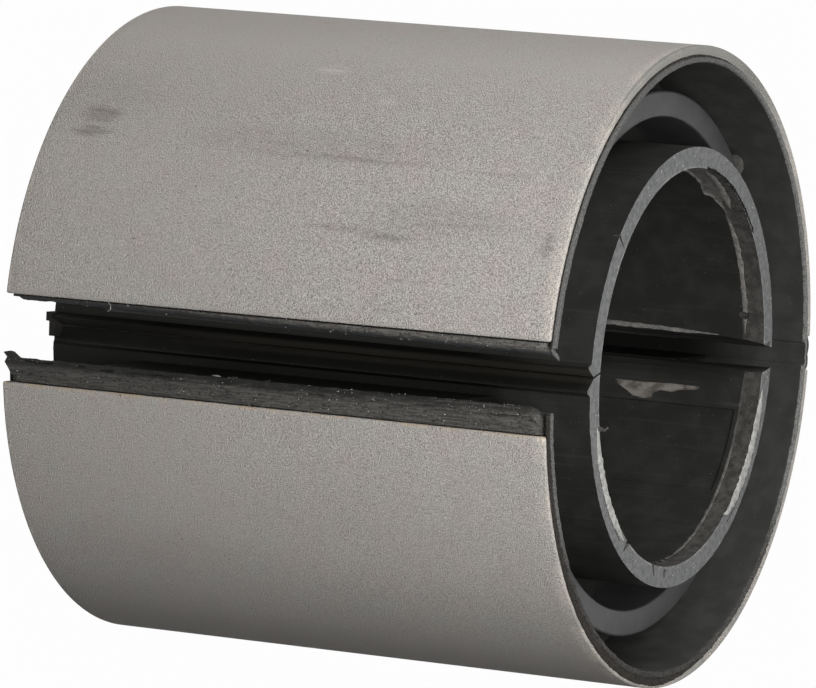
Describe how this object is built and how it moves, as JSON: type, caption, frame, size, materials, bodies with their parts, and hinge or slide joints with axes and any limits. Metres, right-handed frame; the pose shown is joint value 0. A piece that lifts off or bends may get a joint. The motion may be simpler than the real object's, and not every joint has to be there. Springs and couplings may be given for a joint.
{
  "type": "split sway bar bushing",
  "caption": "Split rubber-metal bushing that closes round a sway bar: steel half-shells outside, bonded sleeves inside, an open slot on one side and a rubber hinge web on the other.",
  "frame": {"origin": "on the bushing's axis, in the plane of the half-shells' lower ends, on which it stands", "axes": "+Z along the axis of the bore; -Y towards the open slot; +Y towards the rubber hinge web; the left half is on the -X side"},
  "size_m": [0.098, 0.0978, 0.091],
  "materials": {
    "shell_steel": "blasted and phosphated, matt warm grey with dark rub marks",
    "coated_steel": "smooth dark grey bonding coat",
    "bare_steel": "dull bare steel where the rubber skin is gone",
    "rubber": "matt black moulded rubber, grey and pitted where it was trimmed"
  },
  "bodies": {
    "root": {"outer_shell_left": "shell_steel", "outer_shell_right": "shell_steel", "intermediate_sleeve_left": "coated_steel", "intermediate_sleeve_right": "coated_steel", "inner_sleeve_left": "bare_steel", "inner_sleeve_right": "bare_steel", "rubber_body": "rubber"}
  },
  "joints": []
}
